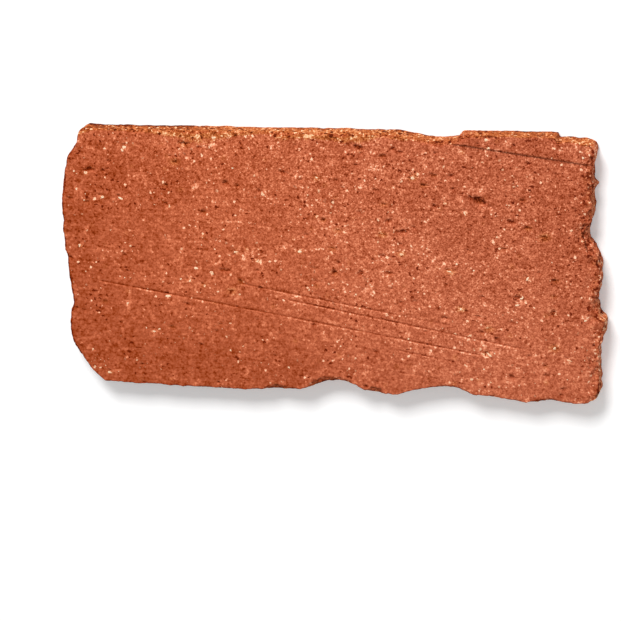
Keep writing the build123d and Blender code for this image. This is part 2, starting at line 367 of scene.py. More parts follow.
# %% Where the grains are
# Grains that stand out: x, y, length, width, turn in degrees and paleness from 0 to 1
NOTED_GRAINS = [
    (-101.7, 35.1, 1.0, 0.9, 0, 0.8), (-97.0, 34.6, 1.8, 1.2, 0, 0.8), (-101.0, 27.9, 1.2, 1.1, 0, 0.9),
    (-90.5, 24.8, 1.9, 1.0, 50, 0.9), (-83.0, 24.6, 2.0, 1.2, -30, 0.9), (-97.5, 11.2, 1.0, 0.8, 0, 0.6),
    (-100.8, 4.9, 1.4, 1.1, 70, 0.9), (-44.2, 49.6, 1.8, 1.4, 0, 0.9), (-53.0, 29.8, 1.1, 1.0, 0, 0.5),
    (-25.6, 27.8, 2.2, 1.5, -60, 0.7), (-63.3, 21.9, 1.6, 0.8, 80, 0.7), (-11.3, 5.1, 1.7, 1.2, -10, 1.0),
    (-28.2, 0.9, 1.6, 1.2, 60, 0.9), (-53.3, -2.9, 1.7, 1.0, -10, 0.9), (-3.9, 34.7, 1.6, 0.9, -20, 0.9),
    (66.0, 13.3, 1.2, 1.0, 0, 0.7), (53.6, 22.2, 2.2, 0.9, -60, 0.9), (46.2, 25.8, 1.6, 1.2, 0, 0.6),
    (33.7, 35.5, 1.6, 1.4, 30, 0.8), (29.2, 34.0, 1.3, 0.9, 0, 0.7), (94.5, 16.5, 1.2, 1.0, 0, 0.7),
    (28.8, 5.3, 1.6, 1.2, 0, 0.8), (63.2, 47.9, 1.3, 1.1, 0, 0.9), (62.2, 51.0, 1.4, 1.3, 0, 0.9),
    (98.8, 44.8, 1.3, 1.1, 0, 0.9), (-82.0, -18.2, 1.2, 1.2, 0, 0.8), (-71.6, -29.2, 1.9, 1.1, -10, 0.9),
    (-69.3, -28.2, 1.1, 0.9, 40, 0.7), (-46.9, -4.5, 1.6, 1.5, 0, 0.8), (-36.0, -12.8, 1.1, 0.9, 0, 0.7),
    (-97.4, -37.6, 1.0, 1.4, 0, 0.7), (-90.6, -47.0, 1.7, 1.2, 0, 0.7), (-94.4, -45.2, 1.2, 1.1, 0, 0.6),
    (-40.4, -36.0, 1.1, 1.0, 0, 0.8), (47.8, -1.1, 3.2, 0.7, -2, 1.0), (50.4, 2.1, 1.2, 1.1, 0, 1.0),
    (57.0, -0.3, 1.1, 1.0, 0, 1.0), (77.8, -3.0, 1.8, 0.9, 55, 1.0), (75.6, -10.8, 1.7, 1.0, 20, 1.0),
    (73.8, -13.5, 1.9, 0.9, 0, 0.9), (51.9, -15.9, 1.8, 0.9, 80, 0.9), (55.5, -26.2, 1.4, 0.9, 20, 0.8),
    (62.8, -33.8, 2.4, 1.0, -40, 0.8), (31.1, -28.5, 1.0, 0.9, 0, 0.7), (88.2, -30.2, 1.4, 1.1, 0, 0.9),
    (60.6, -39.6, 0.9, 0.9, 0, 0.9), (53.4, -38.3, 1.0, 0.9, 0, 0.7), (100.0, -18.8, 1.3, 0.9, 0, 0.8),
    (94.0, -34.9, 2.0, 0.7, -5, 0.7), (-65.2, -14.5, 2.4, 1.2, -12, 1.0), (-59.7, -7.4, 1.0, 0.9, 0, 0.8),
    (-56.0, -8.1, 1.5, 0.8, 45, 0.8), (-50.3, -9.7, 1.6, 0.8, 50, 0.6), (-67.1, -8.7, 1.0, 0.8, 0, 0.6),
    (-36.9, 4.2, 2.0, 0.8, 5, 0.8), (-59.0, 4.8, 1.2, 1.2, 0, 0.5), (-44.7, -12.0, 1.3, 0.8, 0, 0.8),
    (-80.7, 45.1, 2.0, 1.6, 60, 0.8), (-79.5, 46.9, 1.1, 0.9, 0, 0.8), (-88.7, 44.5, 0.9, 0.9, 0, 0.8),
    (88.6, -16.8, 2.2, 1.9, 40, 0.35), (-35.3, -34.0, 0.9, 0.7, 0, 0.5),
]

# %% Where the pores are
GRAIN_TURN = math.radians(-9.6)  # the saw and the clay's grain run down to the right by this much

# Pores that stand out: x, y, length, width, depth and turn in degrees
NOTED_PORES = [
    (59.4, 26.8, 8.4, 2.9, 2.2, -18), (12.6, 46.8, 5.8, 1.8, 1.3, -22), (-56.3, 47.0, 5.6, 1.5, 0.9, -3),
    (-95.2, 35.7, 4.2, 2.0, 1.0, 0), (-97.0, 22.7, 2.0, 1.6, 0.8, 0), (-64.4, 30.3, 3.0, 2.0, 1.0, 10),
    (-60.4, 39.6, 3.0, 1.4, 0.8, 20), (-49.5, 19.7, 3.4, 2.2, 1.0, 10), (-40.6, 31.7, 3.2, 1.2, 0.8, 15),
    (-35.4, 30.6, 2.6, 1.4, 0.8, -10), (-17.1, 36.4, 4.4, 1.4, 0.8, -15), (-10.4, 33.5, 3.4, 1.1, 0.7, -15),
    (6.0, 31.0, 3.8, 1.0, 0.7, -15), (21.9, 43.5, 3.4, 2.2, 0.9, 20), (11.9, 39.8, 3.0, 1.2, 0.8, -20),
    (29.1, 45.3, 2.6, 1.6, 0.8, 0), (37.8, 32.6, 3.4, 1.4, 0.9, -10), (19.1, 30.3, 3.8, 1.1, 0.7, -15),
    (22.5, 24.7, 3.2, 1.0, 0.7, -25), (12.6, 21.4, 3.4, 1.2, 0.8, -20), (23.9, 18.1, 3.4, 1.8, 1.0, 30),
    (-1.7, 17.9, 2.4, 1.8, 0.9, 0), (29.2, 13.9, 4.8, 2.2, 1.1, 10), (21.4, 12.8, 3.4, 1.0, 0.7, -5),
    (4.1, 13.9, 3.0, 1.4, 0.7, 10), (1.6, 6.7, 3.6, 1.2, 0.7, -15), (-5.8, -1.4, 3.4, 1.1, 0.7, -10),
    (41.9, 36.6, 3.4, 1.6, 0.8, -30), (75.8, 27.7, 3.2, 2.0, 1.0, 0), (71.8, 19.0, 3.4, 2.0, 1.1, -25),
    (78.1, 16.8, 4.4, 1.5, 0.9, -10), (84.5, 13.5, 2.6, 1.4, 0.7, 0), (68.3, 8.5, 2.6, 1.6, 0.8, 0),
    (55.3, 7.3, 3.6, 1.0, 0.7, -15), (88.7, -3.6, 2.6, 1.6, 0.9, -10), (60.3, -10.7, 3.0, 1.3, 0.8, -15),
    (73.9, -10.7, 4.0, 1.8, 1.1, -10), (45.8, -19.8, 2.8, 1.6, 0.8, 0), (87.9, -9.7, 2.0, 1.8, 0.7, 0),
    (62.9, -23.5, 2.6, 1.0, 0.6, 10), (84.8, -37.7, 3.6, 1.2, 0.8, -35), (71.7, -42.6, 2.8, 2.0, 1.0, -10),
    (49.0, -45.8, 2.0, 1.4, 0.7, 0), (-91.2, -17.8, 3.0, 1.4, 0.6, 0), (-57.2, -17.7, 3.0, 1.5, 0.8, -20),
    (-44.4, -25.7, 2.6, 1.2, 0.8, 0), (-77.2, -43.2, 1.8, 1.6, 0.9, 0), (-42.0, -3.4, 5.4, 1.7, 0.9, -5),
    (-35.5, -7.7, 3.2, 1.6, 0.8, -25), (-39.1, -11.6, 3.8, 1.0, 0.7, -5), (-64.1, -27.2, 3.0, 1.8, 0.7, 0),
    (-85.0, -26.2, 4.2, 1.0, 0.6, -30), (-105.0, -0.1, 4.4, 1.6, 0.8, -10), (101.7, -35.9, 6.0, 1.0, 1.0, 86),
    (87.4, -16.6, 3.6, 2.8, 1.2, 40), (2.2, -3.2, 3.0, 2.2, 1.0, 0), (23.8, -2.5, 3.8, 1.6, 0.9, -10),
    (61.4, -33.2, 1.8, 2.2, 0.9, 0),
]

noted_grains = np.array(NOTED_GRAINS)
STREWN_PORES = 380

scatter = np.random.default_rng(seed=2024)
pitted = noted_grains[noted_grains[:, 2] > 1.3]
pits = np.column_stack([
    pitted[:, 0] + scatter.uniform(-1.2, 0.2, len(pitted)),
    pitted[:, 1] + 0.5 * pitted[:, 3] + scatter.uniform(0.2, 0.6, len(pitted)),
    1.1 * pitted[:, 2],
    scatter.uniform(0.9, 1.3, len(pitted)),
    scatter.uniform(0.5, 0.9, len(pitted)),
    scatter.uniform(-30, 30, len(pitted)),
])
pore_length = 0.7 + 2.0 * scatter.random(STREWN_PORES) ** 3
to_right = scatter.beta(1.5, 1.1, STREWN_PORES)  # rather more of them towards the right end
strewn_pores = np.column_stack([
    (to_right - 0.5) * LENGTH,
    scatter.uniform(-WIDTH / 2, WIDTH / 2, STREWN_PORES),
    pore_length,
    pore_length * scatter.uniform(0.35, 0.8, STREWN_PORES),
    pore_length * scatter.uniform(0.25, 0.4, STREWN_PORES),
    np.degrees(GRAIN_TURN) + scatter.normal(0, 18, STREWN_PORES),
])
pores = np.vstack([NOTED_PORES, pits, strewn_pores])
print(f"pores: {len(NOTED_PORES)} noted, {len(pits)} beside grains and {STREWN_PORES} strewn")

# %% [markdown]
# ## Relief of the sawn face
#
# The height of the face is a sum of simple parts, from large to small: the lip, the slow wander of the blade,
# the fine ribs that it left along its travel, the bite of single grains, and the pores. It only ever cuts
# into the solid, so that the skin stays inside the real size.

# %% The height at any place of the sawn face
# Depths in mm of the blade's slow wander, of its ribs and of the bite of single grains
WANDER, RIBS, BITE = 0.12, 0.05, 0.14


def across_grain(places, turn):
    """Places turned so that the first axis runs along the saw's travel and the second across it."""
    c, s = math.cos(turn), math.sin(turn)
    x, y = places.T[:2]
    return at_level(np.column_stack([x * c + y * s, y * c - x * s]))


def sawn_height(places):
    """The height in mm, and the painted shade of the pores from 0 to 1: how deep under a pore's upper rim
    each
    place is. A pore is a stretched bowl: with q the distance from its middle as a share of its size, it is
    depth * (1 - q^2) deep inside q = 1. Its upper half is undercut, so its painted shade counts in full
    there, and its lower half lies open to the light."""
    flat = at_level(places)
    travel = across_grain(places, GRAIN_TURN)
    on_lip = (places[:, 1] > lip_line(places[:, 0]) + LIP_RUN / 2) & (places[:, 0] > LIP_FOOT[0])
    wander = WANDER * (1 + unevenness(flat, 38.0, seed=21, layers=2)) / 2
    ribs = RIBS * (1 + unevenness(travel * [0.03, 1.0, 1.0], 1.6, seed=22, layers=2)) / 2
    bite = BITE * (1 + unevenness(flat, 2.2, seed=23, layers=2)) / 2
    height = SAWN_LEVEL + LIP_RISE * on_lip - wander - ribs - bite
    pore_shade = np.zeros(len(places))
    for x, y, long, wide, depth, turn in pores:
        near = np.flatnonzero(np.abs(places - [x, y]).max(axis=1) < long)
        local = across_grain(places[near] - [x, y], math.radians(turn))
        ragged = 1 + 0.8 * unevenness(flat[near], 1.1, seed=24, layers=2)
        q = np.hypot(local[:, 0] / (long / 2), local[:, 1] / (wide / 2)) * ragged
        bowl = np.clip(1 - q * q, 0, 1)
        height[near] -= depth * bowl
        # Painted shade in the upper half of a pore, which the lamp above leaves in shadow
        upper = ease_between((places[near, 1] - y) / wide, -0.2 - 0.2 * depth, 0.1)
        pore_shade[near] = np.maximum(pore_shade[near], bowl * upper * min(1.0, 0.3 + 0.6 * depth))
    return height, pore_shade


flat_places = face.reshape(-1, 2)
face_places = at_level(flat_places)
face_height, face_pore_shade = sawn_height(flat_places)
face_height -= groove.ravel()

# Beside the broken end the face crumbles away
CRUMBLE = 1.2  # depth to which it does
CRUMBLE_REACH, CRUMBLE_SWING = 4.4, 2.6  # how far in from the end, and how much more or less in places
from_right = np.tile(LENGTH * np.linspace(1, 0, ALONG + 1), ACROSS + 1)
right_reach = CRUMBLE_REACH + CRUMBLE_SWING * unevenness(face_places, 6.0, seed=43, layers=3)
crumbled = 1 - ease_between(from_right, 0.4 * right_reach, 1.6 * right_reach)
crumbs = unevenness(face_places, 2.0, seed=44, layers=2)
face_height -= CRUMBLE * crumbled * np.clip(0.5 + 1.3 * crumbs, 0, 1.3)
print(f"sawn face lies between {face_height.min():.2f} and {face_height.max():.2f} mm")

# %% [markdown]
# ## One closed skin
#
# The sheet, the wall and the underside share their edge points, so nothing has to be merged. The underside
# needs far fewer points than the face. A ring of six-cornered cells joins three fine points to one coarse
# one.

# %% Number the points and the cells
BED_MARGIN = 1.6  # from the end of the rounded edge to the first coarse point


def rim_of(index):
    """The point numbers round the edge of a grid, anticlockwise from its lower left corner."""
    return np.concatenate([index[0, :-1], index[:-1, -1], index[-1, :0:-1], index[:0:-1, 0]])


face_index = np.arange((ACROSS + 1) * (ALONG + 1)).reshape(ACROSS + 1, ALONG + 1)
rim = rim_of(face_index)
wall_index = np.vstack([rim, face_index.size + np.arange((len(wall) - 1) * AROUND).reshape(-1, AROUND)])

bed_ring = wall[-1, ::COARSE, :2]
bed_ring = softened(bed_ring, 1.5) + inward_of(softened(bed_ring, 2)) * BED_MARGIN
bed = stretched_grid(bed_ring, ALONG // COARSE, ACROSS // COARSE)
bed_index = wall_index[-1, -1] + 1 + np.arange(bed[:, :, 0].size).reshape(bed.shape[:2])
bed_rim = rim_of(bed_index)


def cells(index, upside_down=False):
    """The four-cornered cells of a grid of point numbers, anticlockwise seen from the side that shows."""
    quads = [index[:-1, :-1], index[:-1, 1:], index[1:, 1:], index[1:, :-1]]
    quads = np.stack([q.ravel() for q in quads], axis=1)
    return quads[:, ::-1] if upside_down else quads


def triangles_in(groups):
    """How many triangles there are in groups of cells: a cell with n corners makes n - 2."""
    return sum(len(group) * (group.shape[1] - 2) for group in groups)


face_quads = cells(face_index)
face_halves = np.concatenate([face_quads[:, [0, 1, 3]], face_quads[:, [1, 2, 3]]])
side_start = np.cumsum([0] + SIDE_COUNTS[:-1])
wall_quads = [
    cells(wall_index[:, (start + np.arange(count + 1)) % AROUND], upside_down=True)
    for start, count in zip(side_start, SIDE_COUNTS)
]
fine = np.append(wall_index[-1], wall_index[-1, 0])
coarse = np.append(bed_rim, bed_rim[0])
joining = np.column_stack([
    fine[:-1:COARSE], coarse[:-1], coarse[1:], fine[COARSE::COARSE], fine[2::COARSE], fine[1::COARSE],
])
bed_quads = cells(bed_index, upside_down=True)
faces = [face_halves, *wall_quads, joining, bed_quads]
crisp = np.zeros(sum(len(group) for group in faces), dtype=bool)
crisp[: len(face_halves)] = sharp.ravel()[face_halves].all(axis=1)

places = np.vstack([
    at_level(flat_places, face_height), wall[1:].reshape(-1, 3), at_level(bed.reshape(-1, 2)),
])
print(f"skin: {len(places)} points, {triangles_in(faces)} triangles, {crisp.sum()} on a sharp step or groove")

# %% [markdown]
# ## Chips along the edge
#
# A saw leaves a brittle edge, and every knock takes a shell-shaped flake off it. A flake is what is left when
# a ball is pressed into the edge, so each chip pushes the points inside a ball out to its surface. The ball's
# surface is itself uneven. A Boolean would cut the same hollow but would leave long thin triangles.

# %% Press the chips into the skin
# Chips that stand out: side, percent along it going anticlockwise, half their length, and how deep they bite
NOTED_CHIPS = [
    (0, 11.2, 4.0, 0.6), (0, 36.8, 5.5, 1.4), (0, 47.0, 8.0, 1.5), (0, 56.8, 6.0, 1.7),
    (0, 72.0, 6.0, 0.9), (0, 90.2, 5.5, 0.9), (1, 13.5, 8.0, 1.4), (1, 25.0, 4.0, 1.0),
    (1, 38.5, 4.5, 1.9), (1, 52.0, 5.0, 1.2), (1, 64.0, 6.0, 2.4), (1, 74.0, 4.0, 1.2),
    (1, 83.0, 4.5, 1.6), (1, 94.0, 4.0, 1.2), (2, 75.8, 6.0, 0.9), (2, 59.0, 7.0, 0.8),
    (2, 30.0, 8.0, 1.2), (2, 40.0, 5.0, 0.9), (2, 49.0, 5.0, 0.9), (2, 88.0, 5.0, 0.9),
    (3, 8.0, 5.0, 0.9), (3, 22.0, 6.0, 1.1), (3, 67.0, 5.0, 0.9), (3, 88.5, 6.0, 1.0),
]
NOTED_LEAN = math.radians(45)  # how far a blow leans out from upright
SMALL_CHIPS = 420
FRESH_AT = 0.25  # where a chip took this much or more, fresh clay shows

edge_ring = places[rim]
edge_inward = inward_of(softened(edge_ring[:, :2], 3))

chips = [
    (side_start[side] + int(percent / 100 * SIDE_COUNTS[side]), reach, depth, NOTED_LEAN)
    for side, percent, reach, depth in NOTED_CHIPS
]
knocks = np.random.default_rng(seed=77)
for _ in range(SMALL_CHIPS):
    reach = 0.7 + 2.0 * knocks.random() ** 2
    lean = math.radians(knocks.uniform(20, 70))
    chips.append((int(knocks.integers(AROUND)), reach, reach * knocks.uniform(0.12, 0.28), lean))

broken = np.zeros(len(places))
for at, reach, depth, lean in chips:
    radius = (reach**2 + depth**2) / (2 * depth)
    away = (radius - depth) * np.array([*(-edge_inward[at] * math.sin(lean)), math.cos(lean)])
    middle = edge_ring[at] + away
    offset = places - middle
    distance = np.linalg.norm(offset, axis=1)
    near = np.flatnonzero(distance < radius * 1.05)
    swell = 1 + 0.6 * depth / radius * unevenness(places[near], 1.3, seed=31, layers=2)
    push = np.maximum(radius * swell - distance[near], 0)
    places[near] += offset[near] / distance[near][:, None] * push[:, None]
    broken[near] = np.maximum(broken[near], np.clip(push / FRESH_AT, 0, 1))
places = np.clip(places, BOX_LOW, BOX_HIGH)
print(f"chips: {len(chips)}, which moved {np.count_nonzero(broken)} points")

# %% [markdown]
# ## Marks for the colour
#
# The colour has to know where the fired skin ends and the sawn clay starts, where painted shade goes in the
# pores, the score lines, the cracks and along the rim, where the lines' lower banks are rubbed and take a
# painted highlight, where the walls darken towards the bottom, and where something pale was rubbed in or the
# clay burnt browner. All of this is stored on the points as attributes.
# Points are 0.6 mm apart, which is too coarse for a ragged edge, so the material later adds fine noise before
# it draws the line.
#
# First come pale strokes. Where the face was dragged over something hard, and beside every large grain, soft
# clay dust was smeared in a short stroke. A stroke is palest along its middle line and fades to both sides.

# %% Pale strokes of dust
# Strokes that stand out: start x, y, end x, y and width
STROKES = [
    (-79.7, 41.9, -78.9, 32.8, 1.0), (-80.1, 32.7, -79.4, 30.8, 0.9), (-41.4, 16.3, -34.2, 16.6, 0.8),
    (-30.4, 15.1, -22.9, 14.3, 1.0), (-52.7, 18.2, -51.9, 11.8, 0.9), (-80.4, -12.3, -82.1, -22.2, 1.3),
    (-71.4, 7.6, -71.7, 3.9, 1.0), (-53.0, 9.3, -52.3, 7.3, 1.6), (-84.5, -28.5, -84.1, -31.3, 1.0),
    (-36.2, 5.0, -40.0, 0.4, 0.9), (46.9, -1.1, 49.6, -1.0, 1.2), (60.8, -13.1, 63.1, -15.4, 1.4),
    (58.9, -7.2, 60.4, -5.6, 1.4), (73.2, -11.5, 73.9, -13.8, 1.2), (60.3, -29.4, 61.4, -30.1, 1.6),
    (-18.4, 5.6, -16.7, 8.0, 1.5), (-16.7, 7.5, -14.1, 7.7, 1.1), (16.7, 38.9, 24.4, 37.0, 1.6),
    (-8.7, 50.9, -4.5, 50.7, 1.2), (5.7, 13.7, 8.8, 13.2, 1.0), (56.1, 30.6, 61.5, 31.0, 2.4),
    (14.1, -10.3, 17.0, -7.0, 1.8), (-74.2, 36.9, -72.8, 30.9, 1.0), (-67.8, 35.4, -67.1, 32.2, 0.9),
    (-56.9, 2.8, -61.9, -0.6, 1.0), (-4.1, 25.9, -1.0, 23.6, 1.0), (36.2, 42.9, 39.2, 40.2, 1.3),
    (52.0, 46.7, 55.4, 42.9, 1.6), (2.1, 35.2, 0.1, 34.8, 1.0), (43.8, 0.3, 41.8, 1.0, 1.0),
]
STREWN_STROKES = 190

rubs = np.random.default_rng(seed=5)
starts = np.column_stack([rubs.uniform(-side / 2, side / 2, STREWN_STROKES) for side in (LENGTH, WIDTH)])
headings = rubs.uniform(0, math.pi, STREWN_STROKES)
lengths = 0.6 + 4.0 * rubs.random(STREWN_STROKES) ** 2
ends = starts + lengths[:, None] * np.column_stack([np.cos(headings), np.sin(headings)])
dusty = np.repeat(noted_grains[:, :2], 2, axis=0) + rubs.normal(0, 0.9, (2 * len(noted_grains), 2))
dust_end = dusty + rubs.normal(0, 1.1, dusty.shape)
strokes = np.vstack([
    STROKES,
    np.column_stack([dusty, dust_end, rubs.uniform(0.7, 1.5, len(dusty))]),
    np.column_stack([starts, ends, rubs.uniform(0.7, 1.3, STREWN_STROKES)]),
])

smear = np.zeros(len(flat_places))
for x0, y0, x1, y1, wide in strokes:
    near = np.flatnonzero(np.abs(flat_places - [(x0 + x1) / 2, (y0 + y1) / 2]).max(axis=1) < 8)
    run = np.array([x1 - x0, y1 - y0])
    share = np.clip((flat_places[near] - [x0, y0]) @ run / (run @ run), 0, 1)
    distance = np.linalg.norm(flat_places[near] - [x0, y0] - share[:, None] * run, axis=1)
    smear[near] = np.maximum(smear[near], np.clip(1 - distance / (0.8 * wide), 0, 1))
print(f"strokes: {len(strokes)}, over half strength on {np.mean(smear > 0.5):.1%} of the face")

# %% [markdown]
# ## Stains, fired skin, darker low walls and painted shade
#
# Round coarse grit and torn pores the clay burnt browner. The brick's own skin, which met the kiln's fire, is
# ochre and brown. It covers the walls, except where the right end broke, and it soaked a few millimetres into
# the face from the upper and the left edge. The walls are darker towards the bottom, and painted shade lies
# along the rim and in the cracks beside the broken end. Each of them is a distance from an edge, made uneven.

# %% Stains
stain = np.zeros(len(flat_places))
stained = np.vstack([np.array(NOTED_PORES)[:, :2], pitted[:, :2]])
for (x, y), reach, strength in zip(
    stained, rubs.uniform(1.2, 3.2, len(stained)), rubs.uniform(0.2, 1.0, len(stained))
):
    far = np.hypot(flat_places[:, 0] - x, 1.5 * (flat_places[:, 1] - y)) / reach
    stain = np.maximum(stain, strength * np.exp(-far * far))

# %% The fired skin, on the walls and soaked into the face
# How far it soaked in from an edge, in mm: usually, and how much more in places
UPPER_SOAK, LEFT_SOAK = (0.4, 9.0), (1.2, 2.4)
# And a patch at the upper edge where it soaked in further: x of its middle, half its width, and by how much
SOAKED_PATCH = (-50, 16, 3.0)
# How well it is kept on the lower, right, upper and left side
SIDE_SKIN = [0.75, 0.42, 1.0, 0.6]

from_upper = np.repeat(WIDTH * np.linspace(1, 0, ACROSS + 1), ALONG + 1)
from_left = LENGTH - from_right
patches = np.clip(unevenness(face_places * [0.5, 1, 1], 16.0, seed=42, layers=3), 0, 1)
upper_soak = UPPER_SOAK[0] + UPPER_SOAK[1] * patches
upper_soak *= 1 - 0.8 * ease_between(flat_places[:, 0], LIP_FOOT[0], LIP_FOOT[0] + 15)
upper_soak += SOAKED_PATCH[2] * np.exp(-((flat_places[:, 0] - SOAKED_PATCH[0]) / SOAKED_PATCH[1]) ** 2)
left_soak = LEFT_SOAK[0] + LEFT_SOAK[1] * np.clip(unevenness(face_places, 7.0, seed=47, layers=3), -0.4, 1)
face_skin = np.maximum(1 - ease_between(from_upper, 0, 2 * upper_soak), 0.35 * crumbled)
face_skin = np.maximum(face_skin, 0.6 - 0.6 * ease_between(from_left, 0, 2 * left_soak))

ring_skin = softened(np.repeat(SIDE_SKIN, SIDE_COUNTS)[:, None], 3)[:, 0]
ring_skin *= 0.9 + 0.5 * unevenness(at_level(outline), 14.0, seed=48, layers=2)
wall_skin = np.tile(ring_skin, len(wall) - 1)

# %% Darker low walls, and painted shade along the rim and in cracks
DARKENING_TOP = 7.0  # above this height in mm the walls are not darkened

wall_places = wall[1:].reshape(-1, 3)
left_part = ease_between(wall_places[:, 0], -35, -60)
# The walls are darker towards the bottom, in patches, and more so towards the left end
low_wall_darkening = 0.45 + 0.7 * unevenness(wall_places, 2.6, seed=45, layers=2)
low_wall_darkening += 0.9 * unevenness(wall_places * [1, 1, 0], 30.0, seed=49) + 0.4 * left_part
low_wall_darkening = np.clip(low_wall_darkening, 0, 1) * ease_between(wall_places[:, 2], DARKENING_TOP, 0.5)
# Painted shade along the rim of the face, where its edge turns down away from the light
edge_shade = np.clip(0.25 + 0.6 * unevenness(places[rim], 2.5, seed=46, layers=2), 0, 1)
shade.ravel()[rim] = np.maximum(shade.ravel()[rim], edge_shade)
# Painted shade along the left rim, where the rounded edge turns away from the light
rim_shade = np.clip(0.7 + 0.6 * unevenness(face_places, 1.8, seed=51, layers=2), 0, 1)
rim_shade *= 1 - ease_between(from_left, 0.5, 2.2)
# Painted shade in the cracks beside the broken end
crack_shade = np.clip(2.0 * unevenness(face_places, 2.8, seed=50, layers=2), 0, 1)
crack_shade *= 1 - ease_between(from_right, 1.0, 4.0)
# Both kinds of painted shade go into the shade mark
for darkening in (rim_shade, crack_shade):
    shade = np.maximum(shade, darkening.reshape(shade.shape))
# How much of the face has painted shade, and how much of the walls is darker towards the bottom
for part, darkening in (("face", shade), ("walls", low_wall_darkening)):
    print(f"dirt: over half strength on {np.mean(darkening > 0.5):.1%} of the {part}")

# %% [markdown]
# ## The kiln's flashes
#
# Where bricks touched in the kiln or the flame licked past them, the clay came out a little darker or paler,
# in soft patches that are centimetres wide. Noise would put them anywhere. Here each has its own place, as a
# bell curve weight * exp(-(dx / along)^2 - (dy / across)^2), and the bells are added up.

# %% Flashes, and all marks by name
# Flashes: x, y, reach along, reach across and weight
FLASHES = [
    (0, 12, 60, 28, 0.05), (78, -34, 40, 22, 0.06), (62, 24, 36, 20, -0.035), (-85, -38, 26, 20, -0.045),
    (-20, -44, 40, 12, -0.07), (-72, 26, 30, 26, 0.02), (98, 0, 10, 40, -0.04), (-78, 52, 34, 7, 0.09),
    (-48, 47, 18, 7, 0.02), (-104, 0, 12, 60, -0.045), (-80, 34, 22, 12, -0.07), (90, 26, 18, 20, -0.06),
    (22, 36, 20, 12, -0.05), (-15, 17, 18, 12, -0.045), (-48, -44, 26, 10, -0.03), (-8, -24, 18, 10, 0.025),
    (87, -24, 14, 12, -0.035), (103, 38, 3.5, 5, -0.11), (103, 14, 3, 5, -0.09), (82, -50, 7, 3, -0.06),
    (-8, 52, 36, 7, 0.04), (74, 55, 28, 8, -0.06),
]
seen = places[: len(flat_places) + len(wall_places)]
kiln_and_light = sum(
    weight * np.exp(-((seen[:, 0] - x) / along) ** 2 - ((seen[:, 1] - y) / across) ** 2)
    for x, y, along, across, weight in FLASHES
)
# The walls are darker than the face, most of all towards the left end, and painted lighter where the right
# end broke: painted light on the end wall, which the lamp leaves in shade
WALL_TONE, LEFT_TONE, BREAK_LIGHT = -0.05, -0.13, 0.14
kiln_and_light[len(flat_places) :] += WALL_TONE + LEFT_TONE * left_part
kiln_and_light[len(flat_places) :] += BREAK_LIGHT * ease_between(wall_places[:, 0], 92, 102)


def on_all_points(face_values, wall_values, bed_values=0.0):
    """Values for the points of the face, then for those of the walls and of the bed."""
    walls = np.broadcast_to(wall_values, wall_skin.shape)
    return np.concatenate([np.ravel(face_values), walls, np.full(bed_index.size, bed_values)])


marks = {
    "skin": on_all_points(face_skin, wall_skin, 0.9),
    "pore_shade": on_all_points(face_pore_shade, 0.0),
    "shade": on_all_points(shade, low_wall_darkening),
    "bank_rub_and_highlight": on_all_points(bank_rub_and_highlight, 0.0),
    "smear": on_all_points(smear, 0.0),
    "kiln_and_light": on_all_points(kiln_and_light[: len(flat_places)], kiln_and_light[len(flat_places) :]),
    "stain": on_all_points(stain, 0.0),
    "crumble": on_all_points(crumbled, np.where(wall_places[:, 0] > 0.5 * LENGTH - 10, 1.0, 0.25)),
    "broken": broken,
}
for name, values in marks.items():
    print(f"mark {name}: over half on {np.mean(values > 0.5):.1%} of the points")


# %% [markdown]
# ## A map for the patterns
#
# Other programs can't read Blender's nodes, so the finished patterns have to be painted onto a square picture
# for them. An automatic unwrapping would cut this pitted surface into thousands of scraps. Unrolling it is
# easy
# here, because it was made from grids: the face fills the upper half of the picture, the four walls are
# strips below it, and the plain underside gets a corner at half the scale.

# %% Place every corner on the map
TEXEL_SCALE = 0.98 / (LENGTH + 2)  # share of the picture for a millimetre
BED_SCALE = 0.55 * TEXEL_SCALE
FACE_CORNER = (0.01, 0.51)
BED_CORNER = (0.012, 0.002)
STRIP_CORNERS = [(0.01, 0.43), (0.01, 0.27), (0.01, 0.35), (0.51, 0.27)]  # lower, right, upper and left wall


def laid_flat(points, scale, corner):
    """Points seen from above, scaled, with the tile's lower left corner at a corner on the map."""
    return corner + scale * (points[:, :2] - BOX_LOW[:2])


wall_drop = np.concatenate([[0], np.cumsum(np.hypot(*np.diff(wall[:, 0, [0, 2]], axis=0).T))])
wall_chart = []
for count, (u0, v0) in zip(SIDE_COUNTS, STRIP_CORNERS):
    u, v = np.meshgrid(u0 + TEXEL_SCALE * CELL * np.arange(count + 1), v0 + TEXEL_SCALE * wall_drop[::-1])
    quads = cells(np.arange(u.size).reshape(u.shape), upside_down=True)
    wall_chart.append(np.stack([u.ravel(), v.ravel()], axis=1)[quads])

on_face = laid_flat(places, TEXEL_SCALE, FACE_CORNER)
on_bed = laid_flat(places, BED_SCALE, BED_CORNER)
chart = [on_face[face_halves], *wall_chart, on_bed[joining], on_bed[bed_quads]]
print(f"map: {len(wall_chart)} strips, {wall_drop[-1]:.1f} mm wide on the tile")


